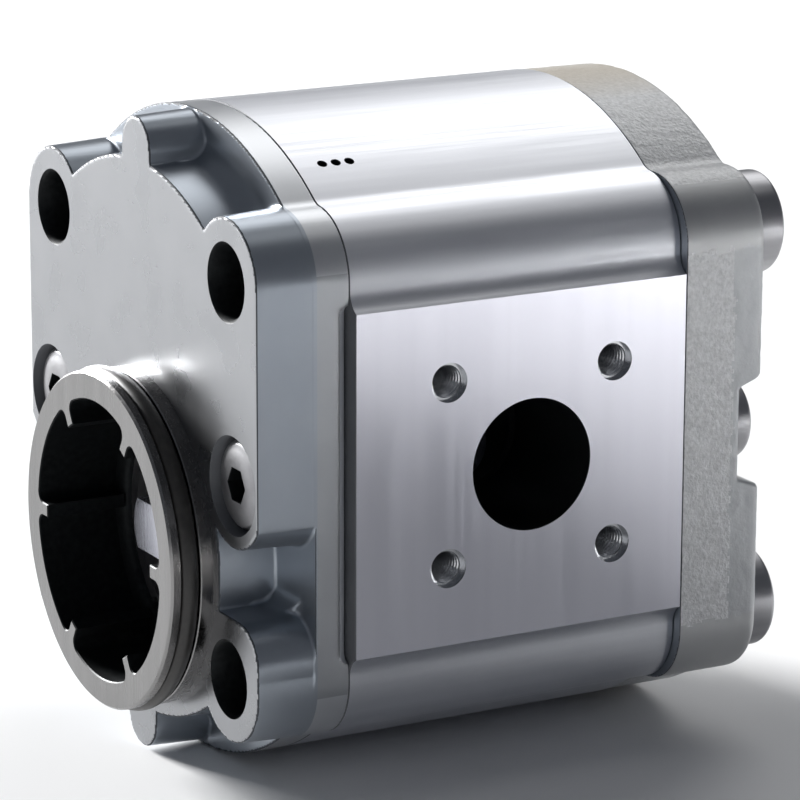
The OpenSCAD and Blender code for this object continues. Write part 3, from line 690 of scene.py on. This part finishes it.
# Dark joints between the parts, also used as painted shade on the walls of the clamp screws' pockets
dark_seam_and_pocket_shade = cast_metal("dark_seam_and_pocket_shade", (0.10, 0.105, 0.115), (0.13, 0.135, 0.145),
                        roughness=0.7, relief=0.001, metallic=0.3)
pilot_metal = drawn_metal("pilot_metal", (0.24, 0.238, 0.236), (0.282, 0.278, 0.276),
                          roughness=0.25, stretch=ALONG_Z, scale=1.5, relief=0.001)
land_metal = drawn_metal("pilot_land_metal", (0.156, 0.152, 0.15), (0.216, 0.21, 0.206),
                         roughness=0.25, stretch=ALONG_Z, scale=1.5, relief=0.001)
screw_metal = drawn_metal("screw_metal", (0.3, 0.3, 0.314), (0.372, 0.372, 0.386),
                          roughness=0.34, stretch=ALONG_Y, scale=2.0, relief=0.002)
clamp_metal = drawn_metal("clamp_screw_metal", (0.276, 0.276, 0.287), (0.333, 0.333, 0.345),
                          roughness=0.42, stretch=ALONG_Y, scale=2.0, relief=0.002)
steel = drawn_metal("ground_steel_metal", (0.66, 0.67, 0.74), (0.74, 0.75, 0.84),
                    roughness=0.25, stretch=ALONG_Z, scale=2.0, relief=0.001)
# Painted shade: bores, holes, the gear chamber, the dimples and the screws' hex sockets are near black
bore_painted_shade = dull("bore_painted_shade", (0.008, 0.009, 0.010), (0.015, 0.017, 0.018),
                  roughness=0.45, relief=0.002, metallic=0.4, gloss=0.1)
thread_metal = dull("thread_metal", (0.52, 0.53, 0.55), (0.58, 0.59, 0.61),
                    roughness=0.22, relief=0.0002, metallic=1.0)
rubber = dull("rubber", (0.018, 0.017, 0.016), (0.030, 0.028, 0.026), roughness=0.42, relief=0.004)
plastic = dull("backup_plastic", (0.70, 0.68, 0.60), (0.80, 0.78, 0.70), roughness=0.45, relief=0.002)
bronze = dull("bush_bronze", (0.42, 0.30, 0.16), (0.52, 0.39, 0.22),
              roughness=0.35, relief=0.002, metallic=1.0)


# Pieces

def front_cover_tools():
    """Cutting shapes of the socket, the seal's bore, the corner holes and the clamp screws' pockets."""
    beyond = cover_high.y + BEYOND
    bore = [(SLEEVE_R, -2 * BEYOND), (SLEEVE_R, SOCKET_Y), (SEAL_R + SEAL_LEAD, SOCKET_Y),
            (SEAL_R, SOCKET_Y + SEAL_LEAD), (SEAL_R, SEAL_SEAT_Y), (SHAFT_HOLE_R, SEAL_SEAT_Y),
            (SHAFT_HOLE_R, beyond)]
    corner = [(MOUNT_HOLE_R + COUNTERSINK + BEYOND, -BEYOND), (MOUNT_HOLE_R + COUNTERSINK, 0),
              (MOUNT_HOLE_R, COUNTERSINK), (MOUNT_HOLE_R, MOUNT_HOLE_DEPTH), (TAPPED_R, MOUNT_HOLE_DEPTH),
              (TAPPED_R, beyond)]
    pocket = [(CLAMP_POCKET_R + BEYOND, -BEYOND), (CLAMP_POCKET_R, CLAMP_MOUTH_Y),
              (CLAMP_POCKET_R, CLAMP_SEAT_Y), (CLAMP_HOLE_R, CLAMP_SEAT_Y), (CLAMP_HOLE_R, beyond)]
    tools = [turned("tool", 0, 0, bore, bore_painted_shade)]
    for sx in (-1, 1):
        for sz in (-1, 1):
            tools.append(turned("tool", sx * BOLT, MID_Z + sz * BOLT, corner, bore_painted_shade))
        # The clamp screws' pockets are cut with the dark seam metal, a painted shade
        tools.append(turned("tool", sx * CLAMP_X, MID_Z, pocket, dark_seam_and_pocket_shade))
    return tools


def paint_front_cover(cover):
    """Gives the front cover's regions their metals, with painted highlights on the flange's rim and bevel and
    painted shade along the edges of its faces.
    """
    rim_y = FLANGE_Y + RIM_START
    repaint(cover, dark_seam_and_pocket_shade, lambda middle, normal: middle.y > cover_high.y - SEAM_W)
    repaint(cover, mount_metal, lambda middle, normal: normal.y < -FACING and middle.y < FACE_BAND)
    # The bevel gets a lighter metal as a painted highlight
    repaint(cover, bevel_painted_highlight, lambda middle, normal: normal.y > BEVEL_FACING and
            middle.y > cover_high.y - BEVEL)
    repaint(cover, strip_metal, lambda middle, normal: abs(normal.x) > FACING and middle.y > rim_y)
    # The flange's rim gets a lighter metal as a painted highlight
    repaint(cover, rim_painted_highlight, lambda middle, normal: abs(normal.y) < SIDEWAYS and middle.y > rim_y)
    # The edges of the faces get a dark metal as painted shade
    repaint(cover, edge_painted_shade, lambda middle, normal: -FACING < normal.y < -EDGE_FACING and
            (middle.y < EDGE_BAND[1] or EDGE_BAND[0] < middle.y - FLANGE_Y < EDGE_BAND[1]))


def make_front_cover():
    axes = (grid_levels(-COVER_SIDE, COVER_SIDE, -COVER_SIDE, COVER_SIDE),
            grid_levels(0, cover_high.y, 0, FLANGE_Y, cover_high.y),
            grid_levels(-CROWN_R, CROWN_R))
    cover = cast_mesh("front_cover_casting", axes, front_cover_form, cover_metal)
    cut(cover, front_cover_tools())
    # The mounting face is flat, though the points that the grid gives it waver a little
    for corner in cover.data.vertices:
        if corner.co.y < FACE_SNAP * MM:
            corner.co.y = 0
    paint_front_cover(cover)
    finished(cover, "front_cover", "front_cover", angle=50)
    for face in cover.data.polygons:
        if face.normal.y < -FLAT_FACING and face.center.y < FACE_BAND * MM:
            face.use_smooth = False


def make_pilot():
    """Pilot ring with its groove, which runs on into the cover as the socket's wall."""
    groove_r = PILOT_R - GROOVE_DEPTH
    profile = [(BLANK_R, PILOT_Y), (PILOT_R - PILOT_BEVEL, PILOT_Y), (PILOT_R, PILOT_Y + PILOT_BEVEL),
               (PILOT_R, GROOVE[0]), (groove_r, GROOVE[0]), (groove_r, GROOVE[1]),
               (PILOT_R - GROOVE_LIP, GROOVE[1]), (PILOT_R, GROOVE[1] + GROOVE_LIP),
               (PILOT_R, PILOT_FOOT_Y), (SLEEVE_R, PILOT_FOOT_Y), (SLEEVE_R, SOCKET_Y), (BLANK_R, SOCKET_Y)]
    pilot = turned("front_cover_pilot", 0, 0, profile, pilot_metal, count=192)
    repaint(pilot, land_metal, lambda middle, normal: abs(normal.y) < SIDEWAYS and middle.y < LAND_END_Y)
    socket = [(x, z - MID_Z) for x, z in socket_outline()]
    sections = [(PILOT_Y - BEYOND, inset(socket, -BEYOND)), (PILOT_Y, inset(socket, -SOCKET_BEVEL)),
                (PILOT_Y + SOCKET_BEVEL, socket), (SOCKET_Y + BEYOND, socket)]
    cut(pilot, [prism("tool", sections, bore_painted_shade)])
    finished(pilot, "front_cover", "front_cover")


def gear_chamber():
    """Cutting shape of the two overlapping gear bores."""
    waist = math.sqrt(CHAMBER_R ** 2 - MID_Z ** 2)
    start = math.degrees(math.atan2(-MID_Z, waist))
    upper = arc(0, MID_Z, CHAMBER_R, start, 180 - start, 4)
    outline = upper + [(x, -z) for x, z in reversed(upper[1:-1])]
    return prism("tool", [(body_low.y - BEYOND, outline), (body_high.y + BEYOND, outline)], bore_painted_shade)


def body_tools():
    """Cutting shapes of the ports, their threaded holes, the screw holes and the dimples."""
    port = [(PASSAGE_R, PASSAGE_START_X), (PASSAGE_R, PAD_X - PORT_DEPTH), (PORT_R, PAD_X - PORT_DEPTH),
            (PORT_R, PAD_X - PORT_BEVEL), (PORT_R + PORT_BEVEL, PAD_X), (PORT_R + PORT_BEVEL, PAD_X + BEYOND)]
    bottom = PAD_X - THREAD_DEPTH
    hole = [(DRILL_POINT_R, bottom - DRILL_POINT), (THREAD_R - DRILL_STEP, bottom), (THREAD_R, bottom),
            (THREAD_R, PAD_X + BEYOND)]
    screw = [(SCREW_HOLE_R, body_low.y - BEYOND), (SCREW_HOLE_R, body_high.y + BEYOND)]
    tools = []
    for side in (-1, 1):
        tools.append(cross_drilled("tool", PORT_Y, MID_Z, port, side, bore_painted_shade))
        for y, z in flange_holes():
            tools.append(cross_drilled("tool", y, z, hole, side, thread_metal))
        for sz in (-1, 1):
            tools.append(turned("tool", side * BOLT, MID_Z + sz * BOLT, screw, bore_painted_shade))
    return tools + [dimple(i) for i in range(DIMPLE_COUNT)]


def flange_holes():
    """Places of the four threaded holes round a port."""
    return [(PORT_Y + sy * THREAD_STEP, MID_Z + sz * THREAD_STEP) for sy in (-1, 1) for sz in (-1, 1)]


def dimple(i, count=32):
    """Drill shape of one of the dimples on top of the body."""
    angle = math.radians(DIMPLE_ANGLE)
    y = body_low.y + DIMPLE_FIRST + DIMPLE_STEP * i
    out = Vector((math.cos(angle), 0, math.sin(angle)))
    side = Vector((-out.z, 0, out.x))
    steps = [2 * math.pi * k / count for k in range(count)]
    rings = []
    for r, height in ((DIMPLE_R, -DIMPLE_DEPTH), (DIMPLE_R, DIMPLE_RIM[0]),
                      (DIMPLE_RIM_R, DIMPLE_RIM[1]), (DIMPLE_RIM_R, BEYOND)):
        middle = out * (CROWN_R + height) + Vector((0, y, MID_Z))
        rings.append([tuple(middle + side * r * math.cos(a) + Vector((0, r * math.sin(a), 0)))
                      for a in steps])
    return loft("tool", rings, bore_painted_shade)


def make_body():
    outline = body_outline()
    eased = inset(outline, EDGE_R)
    sections = [(body_low.y, eased), (body_low.y + EDGE_R, outline), (body_high.y - EDGE_R, outline),
                (body_high.y, eased)]
    body = prism("pump_body_extrusion", sections, body_metal)
    repaint(body, pad_metal, lambda middle, normal: abs(normal.x) > PAD_FACING and
            abs(middle.x) > PAD_X - FACE_BAND)
    repaint(body, dark_seam_and_pocket_shade, lambda middle, normal: abs(normal.y) > SIDEWAYS)
    cut(body, [gear_chamber()])
    cut(body, body_tools())
    finished(body, "body", "pump_body")


def make_threads():
    """Screw threads in the eight flange holes, behind a plain mouth."""
    pieces = [thread_lining(side, y, z) for side in (-1, 1) for y, z in flange_holes()]
    finished(joined(pieces), "body")


def thread_lining(side, y, z, around=48, per_turn=10):
    """Lining of one threaded hole, whose inside winds like a screw thread."""
    turns = int((THREAD_DEPTH - THREAD_START - 2 * THREAD_LEAD) / THREAD_PITCH)
    spiral = [(THREAD_START + THREAD_LEAD + i * THREAD_PITCH / per_turn, i / per_turn)
              for i in range(turns * per_turn + 1)]
    outer = THREAD_R + THREAD_OVERLAP
    levels = [(spiral[-1][0], [outer] * around), (THREAD_START, [outer] * around),
              (THREAD_START, [THREAD_CORE_R] * around)]
    for depth, phase in spiral:
        waves = [math.cos(2 * math.pi * (phase + side * j / around)) for j in range(around)]
        levels.append((depth, [THREAD_CORE_R - THREAD_HEIGHT * (1 - wave) / 2 for wave in waves]))
    angles = [2 * math.pi * j / around for j in range(around)]
    rings = [[(side * (PAD_X - depth), y + r * math.cos(a), z + r * math.sin(a))
              for r, a in zip(radii, angles)] for depth, radii in levels]
    return loft("port_threads", rings, thread_metal, closed=True)


def on_rear_lobe(middle, normal):
    """Corner lobes of the rear cover, up to a wavy border."""
    height = middle.z - MID_Z
    border = BOLT - 1 + noise.noise(middle * REAR_LOBE_WAVES)
    return abs(middle.x) > REAR_SIDE - LOBE_R and height < BOLT + REAR_LOBE_TOP and abs(height) > border


def on_rear_rim(middle, normal):
    """Sides of the rear cover behind its wavy parting line."""
    border = PARTING_Y + PARTING_WAVE * noise.noise(middle * REAR_RIM_WAVES)
    return abs(middle.x) > REAR_SIDE - REAR_RIM_W and middle.y > border


def make_rear_cover():
    axes = (grid_levels(-REAR_SIDE, REAR_SIDE, -REAR_SIDE, REAR_SIDE),
            grid_levels(rear_low.y, rear_high.y, rear_low.y),
            grid_levels(-CROWN_R, CROWN_R))
    rear = cast_mesh("rear_cover_casting", axes, rear_cover_form, rear_metal)
    # The rear cover's front face, a ledge beside the body, gets the darker front cover metal as painted shade
    repaint(rear, cover_metal, lambda middle, normal: normal.y < -JOINT_FACING)
    repaint(rear, dark_seam_and_pocket_shade, lambda middle, normal: middle.y < rear_low.y + REAR_SEAM_W)
    repaint(rear, lobe_metal, on_rear_lobe)
    repaint(rear, rear_rim_metal, on_rear_rim)
    finished(rear, "rear_cover", "rear_cover", angle=60)


def socket_screw(x, z, seat_y, tip_y, material, d, head_d, head_h, socket_w, dome, count=96):
    """Socket-head screw along Y. Its head points away from its tip and has a slightly domed face."""
    out = 1 if seat_y > tip_y else -1
    top = seat_y + out * head_h
    r, c, nearly_zero = head_d / 2, HEAD_ROUNDING, 0.01
    profile = [(nearly_zero, tip_y), (d / 2 - TIP_BEVEL, tip_y), (d / 2, tip_y + out * TIP_BEVEL),
               (d / 2, seat_y), (r, seat_y)]
    profile += [(r - c + c * math.cos(a), top - out * (c + dome - c * math.sin(a)))
                for a in [math.radians(15 * k) for k in range(6)]]
    inner = socket_w / 2 * SOCKET_RIM
    profile += [(inner + (r - c - inner) * t, top - out * dome * t * t) for t in (1, 0.8, 0.6, 0.4, 0.2, 0)]
    rings = [circle(x, y, z, radius, count=count) for radius, y in profile]
    for y, w in ((top, socket_w + 2 * SOCKET_MOUTH), (top - out * SOCKET_MOUTH, socket_w),
                 (top - out * head_h * SOCKET_DEPTH, socket_w)):
        rings.append([(x + px, y, z + pz) for px, pz in hexagon(w, count)])
    rings.append(circle(x, top - out * head_h * SOCKET_POINT_DEPTH, z, nearly_zero, count=count))
    screw = loft("screw", rings, material)
    # The hex socket is near black, a painted shade
    screw.data.materials.append(bore_painted_shade)
    for face in screw.data.polygons[len(profile) * count:-2]:
        face.material_index = 1
    return screw


def hexagon(width, count):
    """Points round a hexagon of the given width across flats, with a corner on the X axis."""
    points = []
    for i in range(count):
        angle = 2 * math.pi * i / count
        off = (angle % (math.pi / 3)) - math.pi / 6
        r = width / 2 / math.cos(off)
        points.append((r * math.cos(angle), r * math.sin(angle)))
    return points


def make_screws():
    notch_y = rear_high.y - NOTCH_DEPTH
    fronts = [socket_screw(sx * CLAMP_X, MID_Z, CLAMP_SEAT_Y, CLAMP_SEAT_Y + CLAMP_LENGTH, clamp_metal,
                           **FRONT_CLAMP) for sx in (-1, 1)]
    rears = [socket_screw(sx * CLAMP_X, MID_Z, notch_y, notch_y - CLAMP_LENGTH, screw_metal, **REAR_CLAMP)
             for sx in (-1, 1)]
    through = [socket_screw(sx * BOLT, MID_Z + sz * BOLT, rear_high.y, THROUGH_TIP_Y, screw_metal, **THROUGH)
               for sx in (-1, 1) for sz in (-1, 1)]
    for name, group, slot in (("front_clamp_screws", fronts, "plated_steel"),
                              ("rear_clamp_screws", rears, "black_steel"),
                              ("through_screws", through, "black_steel")):
        piece = joined(group)
        piece.name = name + "_detailed"
        finished(piece, slot, name)


def make_pilot_ring():
    y = (GROOVE[0] + GROOVE[1]) / 2
    profile = [(RING_CENTRE_R + RING_R * math.cos(a), y + RING_R * math.sin(a))
               for a in [math.radians(10 * k) for k in range(36)]]
    ring = turned("pilot_o_ring_detailed", 0, 0, profile, rubber, closed=True, count=192)
    finished(ring, "seal_rubber", "pilot_o_ring")


def dress_packed_nodes():
    """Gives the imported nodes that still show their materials."""
    by_slot = {"ground_steel": steel, "bearing_block": cover_metal, "bush": bronze, "seal_rubber": rubber,
               "backup_plastic": plastic, "black_steel": screw_metal, "plated_steel": clamp_metal}
    for part in frame["record"]["subparts"]:
        node = frame["nodes"][part["node"]]
        if part["material_slot"] in by_slot:
            node.data.materials.clear()
            node.data.materials.append(by_slot[part["material_slot"]])


make_front_cover()
make_pilot()
make_body()
make_threads()
make_rear_cover()
make_screws()
make_pilot_ring()
dress_packed_nodes()


# Stage, light and camera

# Height of the floor in millimetres and width of the floor in metres
FLOOR_Z = -34.6
FLOOR_W = 30
PALE_SKY = (0.116, 0.123, 0.138)
# Each patch of sky has a direction, the cosines where it begins and is full, and a colour
SKY_PATCHES = (
    ((-0.507, 0.543, 0.669), 0.935, 0.98, (2.64, 2.64, 2.64)),
    ((0.050, 0.450, 0.890), 0.97, 0.99, (0.8, 0.8, 0.8)),
)


def make_floor():
    bpy.ops.mesh.primitive_plane_add(size=FLOOR_W, location=(0, 0, FLOOR_Z * MM))
    floor = bpy.context.object
    floor.name = "floor"
    material, tree, shader = new_material("floor_paper", (0.90, 0.90, 0.90), 0.9, 0.0)
    shader.inputs["Specular IOR Level"].default_value = 0.0
    cloud = grain_noise(tree, EVEN, 0.002, 2)
    tree.links.new(mixed(tree, ranged(tree, cloud, 0, 1), (0.89, 0.89, 0.89), (0.91, 0.91, 0.91)),
                   shader.inputs["Base Color"])
    floor.data.materials.append(material)


def soft_box(name, place, aim, width, height, power, spread=180):
    light = bpy.data.lights.new(name, "AREA")
    light.shape = "RECTANGLE"
    light.size, light.size_y = width, height
    light.energy = power
    light.spread = math.radians(spread)
    lamp = bpy.data.objects.new(name, light)
    lamp.location = place
    lamp.rotation_euler = (Vector(aim) - Vector(place)).to_track_quat("-Z", "Y").to_euler()
    bpy.context.scene.collection.objects.link(lamp)


def make_world():
    """Dim, slightly blue sky with a bright patch high up towards -X and +Y and a weaker one overhead."""
    world = bpy.data.worlds.new("studio")
    bpy.context.scene.world = world
    world.use_nodes = True
    tree = world.node_tree
    place = tree.nodes.new("ShaderNodeTexCoord")
    colour = PALE_SKY
    for direction, edge, core, shade in SKY_PATCHES:
        toward = tree.nodes.new("ShaderNodeVectorMath")
        toward.operation = "DOT_PRODUCT"
        toward.inputs[1].default_value = Vector(direction).normalized()
        tree.links.new(place.outputs["Generated"], toward.inputs[0])
        share = ranged(tree, toward.outputs["Value"], 0, 1, (edge, core))
        colour = mixed(tree, share, colour, shade)
    tree.links.new(colour, tree.nodes["Background"].inputs["Color"])


def make_camera():
    """Camera fitted to the photograph. Its angles are those of the view direction round the pump."""
    azimuth, elevation, roll = math.radians(61.097), math.radians(14.508), math.radians(0.184)
    focal_px, image_px, sensor_mm = 4213.337, 800, 36
    back = Vector((math.sin(azimuth) * math.cos(elevation), -math.cos(azimuth) * math.cos(elevation),
                   math.sin(elevation)))
    right = Vector((0, 0, 1)).cross(back).normalized()
    up = back.cross(right)
    turned_right = right * math.cos(roll) + up * math.sin(roll)
    turned_up = up * math.cos(roll) - right * math.sin(roll)
    camera = bpy.data.cameras.new("camera")
    camera.sensor_width = sensor_mm
    camera.lens = focal_px / image_px * sensor_mm
    camera.clip_start, camera.clip_end = 0.01, 100
    holder = bpy.data.objects.new("camera", camera)
    place = Vector((559.947, -263.872, 181.188)) * MM
    turn = Matrix((turned_right, turned_up, back)).transposed()
    holder.matrix_world = Matrix.Translation(place) @ turn.to_4x4()
    bpy.context.scene.collection.objects.link(holder)
    bpy.context.scene.camera = holder


make_floor()
make_world()
# The key stands low, so that the pump's shadow lies on the floor that the right port pad mirrors
soft_box("key", place=(-5.44, -1.73, 1.64), aim=(0, 0.04, 0.015), width=1.8, height=1.6, power=1080)
# The fill lights a patch of floor behind the pump on the +X side
soft_box("right_fill", place=(0.40, 0.46, 1.20), aim=(0.40, 0.46, 0), width=0.2, height=0.2, power=2.4,
         spread=30)
make_camera()
bpy.context.scene.view_settings.view_transform = "Standard"
